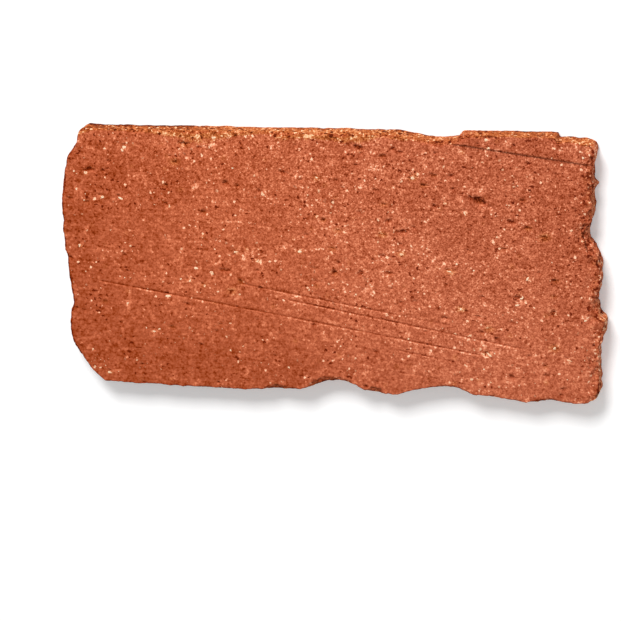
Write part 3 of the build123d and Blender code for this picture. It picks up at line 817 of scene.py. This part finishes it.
# %% Put the skin into a mesh
def piece_from(name, places, groups, marks=None, flat=True, chart=None):
    """A Blender object from points in mm and groups of cells. Every group is an array with one row for a
    cell. `flat` says for each cell, or for all of them, that it is shaded flat. `chart` has the place of each
    corner on the map, in groups like those of the cells."""
    mesh = bpy.data.meshes.new(name)
    corners = np.concatenate([group.ravel() for group in groups])
    sizes = np.concatenate([np.full(len(group), group.shape[1]) for group in groups])
    mesh.vertices.add(len(places))
    mesh.vertices.foreach_set("co", (places * MM).astype(np.float32).ravel())
    mesh.loops.add(len(corners))
    mesh.loops.foreach_set("vertex_index", corners.astype(np.int32))
    mesh.polygons.add(len(sizes))
    mesh.polygons.foreach_set("loop_start", np.concatenate([[0], np.cumsum(sizes)[:-1]]).astype(np.int32))
    mesh.polygons.foreach_set("use_smooth", ~(flat & np.ones(len(sizes), dtype=bool)))
    mesh.update(calc_edges=True)
    for mark, values in (marks or {}).items():
        layer = mesh.attributes.new(mark, "FLOAT", "POINT")
        layer.data.foreach_set("value", values.astype(np.float32))
    if chart is not None:
        spots = np.concatenate([group.reshape(-1, 2) for group in chart])
        mesh.uv_layers.new(name="OFBake").data.foreach_set("uv", spots.astype(np.float32).ravel())
    piece = bpy.data.objects.new(name, mesh)
    bpy.context.scene.collection.objects.link(piece)
    return piece


clay_skin = piece_from("clay_skin", places, faces, marks, flat=crisp, chart=chart)
print("mesh repaired:", clay_skin.data.validate())
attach(clay_skin, "root")
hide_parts(TILE)

# %% [markdown]
# ## Grit in the clay
#
# The saw cut the lime and quartz flush or pulled them half out, and they are the crispest thing on the face.
# As paint they would be no sharper than the pattern they come from, so each one is a small angular stone of
# its own, set into the skin: a ring on the surface, a smaller ring above it for the cut top, and a smaller
# one below that the clay hides.

# %% Scatter the small grains
SMALL_GRAINS = 640
WALL_GRAINS = 200
KEEP_OFF = 4  # grid cells between a small grain and the edge of the face

from_grain = flat_places[None] - noted_grains[:, None, :2]
nearest = np.array([np.hypot(*one.T).argmin() for one in from_grain])
strew = np.random.default_rng(seed=9)
inner = face_index[KEEP_OFF:-KEEP_OFF, KEEP_OFF:-KEEP_OFF].ravel()
flocks = np.exp(3.0 * unevenness(face_places[inner], 13.0, seed=51, layers=2))  # it lies in flocks
chosen = strew.choice(inner, SMALL_GRAINS, replace=False, p=flocks / flocks.sum())
levels = strew.integers(1, WALL_LEVELS, WALL_GRAINS)
turns_round = strew.integers(0, AROUND, WALL_GRAINS)

grain_places = np.vstack([
    at_level(noted_grains[:, :2], places[nearest, 2]),
    places[chosen],
    places[wall_index[levels, turns_round]],
])
upright = np.tile([0.0, 0.0, 1.0], (len(noted_grains) + SMALL_GRAINS, 1))
outward = at_level(-edge_inward[turns_round])
grain_out = np.vstack([upright, outward])
small = SMALL_GRAINS + WALL_GRAINS
small_length = 0.4 + 1.0 * strew.random(small) ** 3
grain_sizes = np.vstack([
    noted_grains[:, 2:4],
    np.column_stack([small_length, small_length * strew.uniform(0.5, 1.0, small)]),
])
grain_turns = np.concatenate([np.radians(noted_grains[:, 4]), strew.uniform(0, math.pi, small)])
paleness = np.concatenate([noted_grains[:, 5], strew.beta(1.2, 2.4, small)])
print(f"grains: {len(noted_grains)} noted, {SMALL_GRAINS} small on the face and {WALL_GRAINS} on the walls")

# %% Shape all the grains at once
CORNERS = 8  # corners of a grain's outline
# Each ring of a grain: its size as a share of the full one, and its height in mm over the clay
RINGS = [(0.0, 0.07), (0.72, 0.07), (1.0, -0.02), (0.6, -0.3), (0.0, -0.3)]

grain_count = len(grain_places)
side_1 = np.cross(grain_out, np.where(np.abs(grain_out[:, 2:]) > 0.5, [1.0, 0, 0], [0, 0, 1.0]))
side_2 = np.cross(grain_out, side_1)
angle = np.linspace(0, 2 * math.pi, CORNERS, endpoint=False)
angle = angle + strew.uniform(-0.28, 0.28, (grain_count, CORNERS))
radius = strew.uniform(0.5, 1.25, (grain_count, CORNERS))
p = radius * np.cos(angle) * grain_sizes[:, :1] / 2
q = radius * np.sin(angle) * grain_sizes[:, 1:] / 2
c, s = np.cos(grain_turns)[:, None], np.sin(grain_turns)[:, None]
facing = np.where(grain_out[:, 2:] > 0.5, -1.0, 1.0)  # on the face, side_1 points down the tile
across_1 = facing * (p * s + q * c)
across_2 = p * c - q * s


def grain_ring(share, height):
    """One ring of every grain: the outline's corners times the share, along the grain's two sides, at a
    height along its own outward direction."""
    ring = grain_places[:, None] + height * grain_out[:, None]
    return ring + share * (across_1[..., None] * side_1[:, None] + across_2[..., None] * side_2[:, None])


grain_points = np.concatenate(
    [grain_ring(share, height)[:, : 1 if share == 0 else CORNERS] for share, height in RINGS], axis=1
)
first = np.cumsum([0, 1, CORNERS, CORNERS, CORNERS])
here = np.arange(CORNERS)
following = (here + 1) % CORNERS
top_fan = np.column_stack([np.zeros_like(here), first[1] + here, first[1] + following])
bottom_fan = np.column_stack([np.full_like(here, first[4]), first[3] + following, first[3] + here])
bands = [
    np.column_stack([upper + here, lower + here, lower + following, upper + following])
    for upper, lower in zip(first[1:3], first[2:4])
]
start_of = np.arange(grain_count)[:, None, None] * grain_points.shape[1]
grain_groups = [
    (start_of + pattern[None]).reshape(-1, pattern.shape[1]) for pattern in (top_fan, bottom_fan, *bands)
]
grit_places = np.clip(grain_points.reshape(-1, 3), BOX_LOW, BOX_HIGH)
grit_marks = {"paleness": np.repeat(paleness, grain_points.shape[1])}
grit = piece_from("lime_and_quartz_grit", grit_places, grain_groups, grit_marks)
print(f"grit: {triangles_in(grain_groups)} triangles")
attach(grit, "root")

# %% [markdown]
# ## Colours and nodes
#
# Colours are written as they look, as sRGB hex values, and one function turns them to the linear values that
# Blender's shaders expect. One more function adds a node, so that each finish below reads as a list of what
# it is made of.


# %% Helpers for the finishes
def linear(hex_colour):
    """sRGB to linear: below 0.04045 it is c / 12.92, and above it ((c + 0.055) / 1.055)^2.4."""
    channels = [int(hex_colour[i : i + 2], 16) / 255 for i in (1, 3, 5)]
    return tuple(c / 12.92 if c <= 0.04045 else ((c + 0.055) / 1.055) ** 2.4 for c in channels) + (1.0,)


def empty_material(name):
    """A new material without any node, and its tree."""
    material = bpy.data.materials.new(name)
    material.use_nodes = True
    material.node_tree.nodes.clear()
    return material, material.node_tree


def add(tree, kind, inputs=None, out=0, stops=(), **settings):
    """Adds a node of the class "ShaderNode" + kind, makes its settings, and joins or types in its inputs. A
    colour ramp takes its stops in place of the two it comes with. Returns one of the node's output sockets,
    or nothing where it has none."""
    node = tree.nodes.new("ShaderNode" + kind)
    for name, value in settings.items():
        setattr(node, name, value)
    for spot, paint in stops:
        node.color_ramp.elements.new(spot).color = linear(paint)
    if stops:
        node.color_ramp.elements.remove(node.color_ramp.elements[0])
        node.color_ramp.elements.remove(node.color_ramp.elements[-1])
    for name, value in (inputs or {}).items():
        if isinstance(value, bpy.types.NodeSocket):
            tree.links.new(value, node.inputs[name])
        else:
            node.inputs[name].default_value = value
    return None if out is None else node.outputs[out]


def per(size):
    """The Scale of a pattern whose cells are `size` mm."""
    return 1 / (size * MM)


print("brick red as linear light:", [round(c, 3) for c in linear("#B9603F")])

# %% [markdown]
# ## Fired red clay
#
# The material is common earthenware: red clay with iron, fired to about 1000 degrees, unglazed, then sawn. It
# is a matt dielectric with an index near 1.5 and a high roughness, so it has almost no gloss. What makes it
# convincing is its speckle. Its colours all lie on one line, from burnt dark over brick red and pink to the
# cream of lime. So every pattern only says how pale the clay is at a place, the patterns are added up, and
# one colour ramp turns the sum into a colour at the end.

# %% Coordinates of the clay
clay, tree = empty_material("fired_red_clay")
# The brick was dragged out of its mould, so its patterns are drawn rather taller on the upright walls
place = add(tree, "TexCoord", out="Object")
place = add(tree, "Mapping", {"Vector": place, "Scale": (1.0, 1.0, 0.6)})

# Coordinates shaken by half a millimetre give every blotch a ragged edge
shake = add(tree, "TexNoise", {"Vector": place, "Scale": per(0.8), "Detail": 2.0}, out="Color")
shake = add(tree, "VectorMath", {0: shake, 1: (0.5, 0.5, 0.5)}, operation="SUBTRACT")
shake = add(tree, "VectorMath", {0: shake, "Scale": 1.4 * MM}, operation="SCALE")
ragged = add(tree, "VectorMath", {0: place, 1: shake}, operation="ADD")

# Stretched and turned with the grain: blotches become torn dashes, and noise becomes the saw's fine ribs
dashed, ribbed = [
    add(tree, "Mapping", {"Vector": base, "Rotation": (0, 0, -GRAIN_TURN), "Scale": (stretch, 1.0, 1.0)})
    for base, stretch in ((ragged, 0.35), (place, 0.05))
]


# %% A pattern of separate blotches
def blotches(coords, cell, largest, share, edge=0.25):
    """A blotch in a share of the cells of a Voronoi pattern. With d the distance from the cell's middle and r
    its random size up to `largest`, both in cells, it is (r - d) / (edge * largest), held from 0 to 1."""
    scale = {"Vector": coords, "Scale": per(cell)}
    distance = add(tree, "TexVoronoi", scale, feature="F1")
    lots = add(tree, "TexVoronoi", scale, out="Color", feature="F1")
    size = add(tree, "SeparateColor", {0: lots}, out="Red")
    chance = add(tree, "SeparateColor", {0: lots}, out="Green")
    size = add(tree, "Math", {0: size, 1: 0.65 * largest, 2: 0.35 * largest}, operation="MULTIPLY_ADD")
    left = add(tree, "Math", {0: size, 1: distance}, operation="SUBTRACT")
    mask = add(tree, "Math", {0: left, 1: edge * largest}, operation="DIVIDE", use_clamp=True)
    there = add(tree, "Math", {0: chance, 1: share}, operation="LESS_THAN")
    return add(tree, "Math", {0: mask, 1: there}, operation="MULTIPLY")


# %% Marks with ragged edges
nibble = add(tree, "TexNoise", {"Vector": place, "Scale": per(0.7), "Detail": 2.0, "Roughness": 0.6})
masks = {}
for mark, bite, low, high in (
    ("skin", 1.3, 0.36, 0.62), ("pore_shade", 0.9, 0.12, 0.6), ("shade", 0.4, 0.1, 0.9),
    ("bank_rub_and_highlight", 0.4, 0.1, 0.9), ("smear", 0.9, 0.2, 0.55), ("broken", 0.6, 0.3, 0.7),
    ("crumble", 0.8, 0.3, 0.6), ("stain", 1.2, 0.3, 1.1),
):
    value = add(tree, "Attribute", attribute_name=mark, out="Fac")
    shaken = add(tree, "Math", {0: nibble, 1: bite, 2: -bite / 2}, operation="MULTIPLY_ADD")
    shaken = add(tree, "Math", {0: value, 1: shaken}, operation="ADD")
    masks[mark] = add(tree, "MapRange", {"Value": shaken, "From Min": low, "From Max": high})
print("masks:", ", ".join(masks))

# %% [markdown]
# ### How pale the clay is
#
# The sum starts from a tone that rises a little from left to right. Noise of several sizes swings it both
# ways. Then come the things that push it one way only: blotches of dark grit, painted shade in the pores, the
# score lines, at the lip's foot, along the rim and in the cracks, and the darker low walls make it dark, and
# dust, crushed lime, smears and the lines' lower banks, rubbed and with a painted highlight, make it pale.
# Real sand has grains of 0.1 to 0.5 mm. A pixel of the picture covers 0.4 mm, so they would blur to nothing,
# and the finest noise is drawn coarser than it is, at 0.5 to 0.8 mm.

# %% Slow changes over the tile
along_tile, up_tile = [add(tree, "SeparateXYZ", {0: place}, out=axis) for axis in ("X", "Y")]
# Each with its direction, where it starts and ends in mm, and its values there
tone, sand, sand_above, crowd, richness = [
    add(tree, "MapRange", {
        "Value": direction, "From Min": start * MM, "From Max": end * MM, "To Min": low, "To Max": high,
    })
    for direction, start, end, low, high in (
        (along_tile, -90, 20, 0.4, 0.488),  # paleness before everything else
        (along_tile, -120, 60, 0.0, 0.75),  # the right part is sandier
        (up_tile, -45, 50, -0.25, 0.5),  # and so is the upper part
        (up_tile, -45, 50, -0.075, 0.01),  # where the speckle crowds
        (along_tile, -40, 50, 1.0, 0.979),  # fine lime takes some of the red away towards the right
    )
]

# %% Noise that swings both ways
# The kiln's flashes and the wall tones, with the painted light on the broken end wall
kiln_and_light_tone = add(tree, "Attribute", attribute_name="kiln_and_light", out="Fac")
pale = add(tree, "Math", {0: tone, 1: kiln_and_light_tone}, operation="ADD")
# size in mm, detail and weight of each
for coords, size, detail, weight in (
    (place, 0.7, 0.0, 0.44), (place, 1.4, 0.0, 0.42), (place, 3.2, 1.0, 0.34), (place, 12.0, 1.0, 0.20),
    (ribbed, 0.8, 1.0, 0.22),
):
    noise = add(tree, "TexNoise", {"Vector": coords, "Scale": per(size), "Detail": detail})
    swing = add(tree, "Math", {0: noise, 1: weight, 2: -weight / 2}, operation="MULTIPLY_ADD")
    pale = add(tree, "Math", {0: pale, 1: swing}, operation="ADD")

# The sandier the clay, the stronger is the finest noise of all
sand = add(tree, "Math", {0: sand, 1: sand_above}, operation="ADD")
sand = add(tree, "Clamp", {"Value": sand, "Max": 0.85})
grain = add(tree, "TexNoise", {"Vector": place, "Scale": per(0.5), "Detail": 0.0})
grain = add(tree, "Math", {0: grain, 1: 0.5}, operation="SUBTRACT")
pale = add(tree, "Math", {0: grain, 1: sand, 2: pale}, operation="MULTIPLY_ADD")

# %% Speckle, crowded in some parts and sparse in others
gather = add(tree, "TexNoise", {"Vector": place, "Scale": per(11), "Detail": 2.0})
gather = add(tree, "Math", {0: gather, 1: crowd}, operation="ADD")
gather = add(tree, "MapRange", {
    "Value": gather, "From Min": 0.38, "From Max": 0.62, "To Min": 0.35, "To Max": 1.4,
})
speckle = 0.0
for name, mask, weight in (
    ("dark grit", blotches(ragged, 2.2, 0.32, 0.8), -0.38),
    ("fine dark grit", blotches(ragged, 1.3, 0.32, 0.75), -0.32),
    ("torn dashes", blotches(dashed, 1.7, 0.29, 0.5), -0.36),
    ("dust", blotches(ragged, 1.9, 0.35, 0.8), 0.22),
    ("fine lime", blotches(ragged, 1.3, 0.31, 0.75), 0.34),
    ("coarse lime", blotches(ragged, 2.6, 0.25, 0.6), 0.55),
):
    speckle = add(tree, "Math", {0: mask, 1: weight, 2: speckle}, operation="MULTIPLY_ADD")
    print("speckle:", name, weight)
pale = add(tree, "Math", {0: speckle, 1: gather, 2: pale}, operation="MULTIPLY_ADD")

# %% Marks that push one way
rougher = add(tree, "Math", {0: masks["skin"], 1: masks["crumble"]}, operation="MAXIMUM")
gritty = add(tree, "TexNoise", {"Vector": place, "Scale": per(1.3), "Detail": 1.0})
gritty = add(tree, "Math", {0: gritty, 1: 0.5}, operation="SUBTRACT")


def where_rough(mask):
    """A mask that only counts on the fired skin and where the end has crumbled."""
    return add(tree, "Math", {0: rougher, 1: mask}, operation="MULTIPLY")


# Painted shade in the pores, at the lip's foot, in the score lines, along the rim and in the cracks, with the
# walls darker towards the bottom, pushes the clay dark; the lines' lower banks, rubbed and with a painted
# highlight, push it pale
for name, mask, weight in (
    ("open pores", masks["pore_shade"], -0.36),
    ("shaded lines", masks["shade"], -0.42),
    ("rubbed banks", masks["bank_rub_and_highlight"], 0.36),
    ("smears", masks["smear"], 0.19),
    ("broken edge", masks["broken"], -0.08),
    ("burnt spots", where_rough(blotches(ragged, 2.2, 0.42, 0.9)), -0.44),
    ("loose lime", where_rough(blotches(ragged, 1.7, 0.35, 0.8)), 0.5),
    ("gritty skin", where_rough(gritty), 0.9),
):
    pale = add(tree, "Math", {0: mask, 1: weight, 2: pale}, operation="MULTIPLY_ADD")
    print("push:", name, weight)

# %% [markdown]
# ### From paleness to colour
#
# One ramp has the colours of sawn clay, and another has those of the fired skin, which are browner and more
# golden. The skin's mask, some ochre patches and the stains say where the second one shows, and it is weaker
# where a chip came off. Relief finer than the mesh is only a bump, because it is too small to throw a shadow.

# %% Turn paleness into colour
sawn = add(tree, "ValToRGB", {"Fac": pale}, stops=[
    (0.02, "#6E1E02"), (0.14, "#92350A"), (0.27, "#A84B26"), (0.38, "#B35735"), (0.50, "#C36440"),
    (0.62, "#D2734D"), (0.74, "#E3875F"), (0.86, "#F6A67E"), (0.97, "#FFD2AE"),
])
fired = add(tree, "ValToRGB", {"Fac": pale}, stops=[
    (0.02, "#5E2006"), (0.18, "#8A3C12"), (0.36, "#AC5428"), (0.52, "#C46C38"),
    (0.7, "#DE8E5A"), (0.95, "#FAD2A4"),
])
sawn = add(tree, "HueSaturation", {"Saturation": richness, "Color": sawn})
fresh = add(tree, "Math", {0: masks["broken"], 1: -0.55, 2: 1.0}, operation="MULTIPLY_ADD")
skin_mask = add(tree, "Math", {0: masks["skin"], 1: fresh}, operation="MULTIPLY")
ochre = add(tree, "Math", {0: blotches(ragged, 4.5, 0.36, 0.4, edge=0.9), 1: 0.55}, operation="MULTIPLY")
for patch in (ochre, masks["stain"]):
    skin_mask = add(tree, "Math", {0: skin_mask, 1: patch}, operation="MAXIMUM")
colour = add(tree, "Mix", {0: skin_mask, 6: sawn, 7: fired}, out=2, data_type="RGBA")

# %% Finish of the clay
# Heights of the fine relief, in mm, so the bump's distance is 1 mm
relief = add(tree, "TexNoise", {"Vector": place, "Scale": per(0.75), "Detail": 3.0, "Roughness": 0.65})
relief = add(tree, "Math", {0: relief, 1: 0.26}, operation="MULTIPLY")
relief = add(tree, "Math", {0: masks["pore_shade"], 1: -0.2, 2: relief}, operation="MULTIPLY_ADD")
normal = add(tree, "Bump", {"Height": relief, "Strength": 1.0, "Distance": MM})
rough = add(tree, "MapRange", {"Value": pale, "From Min": 0.4, "To Min": 0.93, "To Max": 0.75})
surface = add(tree, "BsdfPrincipled", {
    "Base Color": colour, "Roughness": rough, "Diffuse Roughness": 0.5, "IOR": 1.5,
    "Specular IOR Level": 0.05, "Normal": normal,
})
add(tree, "OutputMaterial", {"Surface": surface}, out=None)
clay_skin.data.materials.append(clay)

# %% [markdown]
# ## Lime and quartz
#
# Burnt lime is chalky and cream, and quartz is clearer and takes on the pink of the clay round it. Both are
# stone with an index near 1.55. The saw left them duller than a fresh break, so they have little sheen.

# %% Finish of the grit
stone, tree = empty_material("lime_and_quartz")
place = add(tree, "TexCoord", out="Object")
tint = add(tree, "Attribute", attribute_name="paleness", out="Fac")
cloudy = add(tree, "TexNoise", {"Vector": place, "Scale": per(0.6), "Detail": 2.0})
cloudy = add(tree, "Math", {0: cloudy, 1: 1.4, 2: -0.75}, operation="MULTIPLY_ADD")
tint = add(tree, "Math", {0: tint, 1: cloudy}, operation="ADD")
stone_colour = add(tree, "ValToRGB", {"Fac": tint}, stops=[
    (0.0, "#A9552E"), (0.3, "#DC9068"), (0.62, "#F4BC92"), (0.95, "#FFE2BE"),
])
stone_bump = add(tree, "Bump", {"Height": cloudy, "Strength": 1.0, "Distance": 0.1 * MM})
stone_surface = add(tree, "BsdfPrincipled", {
    "Base Color": stone_colour, "Roughness": 0.6, "IOR": 1.55, "Normal": stone_bump,
})
add(tree, "OutputMaterial", {"Surface": stone_surface}, out=None)
grit.data.materials.append(stone)

# %% [markdown]
# ## Floor
#
# The floor is plain and pale and only there to catch the shadow. For camera rays alone it is lifted to full
# white with a little light of its own, so the picture has a white ground without more light on the tile.

# %% A plain pale floor
FLOOR_HALF = 2000.0
FLOOR_GLOW = 0.24  # light of its own that only the camera sees

floor_places = FLOOR_HALF * np.array([[-1, -1, 0], [1, -1, 0], [1, 1, 0], [-1, 1, 0]])
floor = piece_from("floor", floor_places, [np.array([[0, 1, 2, 3]])])

paper, tree = empty_material("white_floor")
matt = add(tree, "BsdfDiffuse", {"Color": linear("#F2F2F2")})
camera_ray = add(tree, "LightPath", out="Is Camera Ray")
lift = add(tree, "Math", {0: camera_ray, 1: FLOOR_GLOW}, operation="MULTIPLY")
glow = add(tree, "Emission", {"Color": (1, 1, 1, 1), "Strength": lift})
both = add(tree, "AddShader", {0: matt, 1: glow})
add(tree, "OutputMaterial", {"Surface": both}, out=None)
floor.data.materials.append(paper)

# %% [markdown]
# ## Light
#
# The tile was lit by one large soft source above its upper edge, with a bright room all round. That is why
# the upper walls of the saw lines are dark and their lower walls bright. The two strengths add up to about
# the level at which a flat surface shows its own colour: a world of strength s lights it to s, and the lamp
# does the rest.

# %% World and key lamp
ROOM_SHARE = 0.42
KEY_SHARE = 0.66
KEY_DISTANCE = 1.25  # metres
KEY_SIDE = 0.42  # metres
KEY_HEIGHT_ANGLE = math.radians(48)  # above the floor, seen from the tile
KEY_BEARING = math.radians(100)  # from +X, so it stands beyond the upper edge and a little left

world = bpy.data.worlds.new("bright_room")
world.use_nodes = True
room = world.node_tree.nodes["Background"]
room.inputs["Color"].default_value = (1, 1, 1, 1)
room.inputs["Strength"].default_value = ROOM_SHARE
bpy.context.scene.world = world

key_data = bpy.data.lights.new("softbox", "AREA")
key_data.shape = "SQUARE"
key_data.size = KEY_SIDE
face_on = math.pi * KEY_SHARE / math.sin(KEY_HEIGHT_ANGLE)
key_data.energy = face_on * math.pi * KEY_DISTANCE**2
key = bpy.data.objects.new("softbox", key_data)
to_key = Vector((
    math.cos(KEY_HEIGHT_ANGLE) * math.cos(KEY_BEARING),
    math.cos(KEY_HEIGHT_ANGLE) * math.sin(KEY_BEARING),
    math.sin(KEY_HEIGHT_ANGLE),
))
key.location = to_key * KEY_DISTANCE
key.rotation_euler = to_key.to_track_quat("Z", "Y").to_euler()
bpy.context.scene.collection.objects.link(key)
print(f"key lamp: {key_data.energy:.1f} W at {KEY_DISTANCE} m")

# %% [markdown]
# ## Camera
#
# The photograph shows the tile upright on its long edge, seen from a little above and to its right with a
# long lens. Laid flat, what was up in the photograph is +Y here, so the camera looks down on the face from
# the same side: 12 degrees to the right of square and 15 degrees up.

# %% A long lens over the face
FRAME_SIDE = 621  # pixels
FOCAL_PIXELS = 2616.7
SENSOR = 36.0
CAMERA_PLACE = Vector((212.8, 249.4, 974.4)) * MM
AIM = Vector((-7.6, -18.4, 12.2)) * MM
ROLL = math.radians(-1.43)

forward = (AIM - CAMERA_PLACE).normalized()
right = forward.cross(Vector((0, 1, 0))).normalized()
up = right.cross(forward)
right, up = (
    right * math.cos(ROLL) + up * math.sin(ROLL),
    up * math.cos(ROLL) - right * math.sin(ROLL),
)
camera_data = bpy.data.cameras.new("camera")
camera_data.sensor_width = SENSOR
camera_data.lens = SENSOR * FOCAL_PIXELS / FRAME_SIDE
camera = bpy.data.objects.new("camera", camera_data)
camera.matrix_world = Matrix.Translation(CAMERA_PLACE) @ Matrix((right, up, -forward)).transposed().to_4x4()
bpy.context.scene.collection.objects.link(camera)
bpy.context.scene.camera = camera
bpy.context.scene.view_settings.view_transform = "Standard"
print(f"lens {camera_data.lens:.1f} mm, {(AIM - CAMERA_PLACE).length:.3f} m from the face")
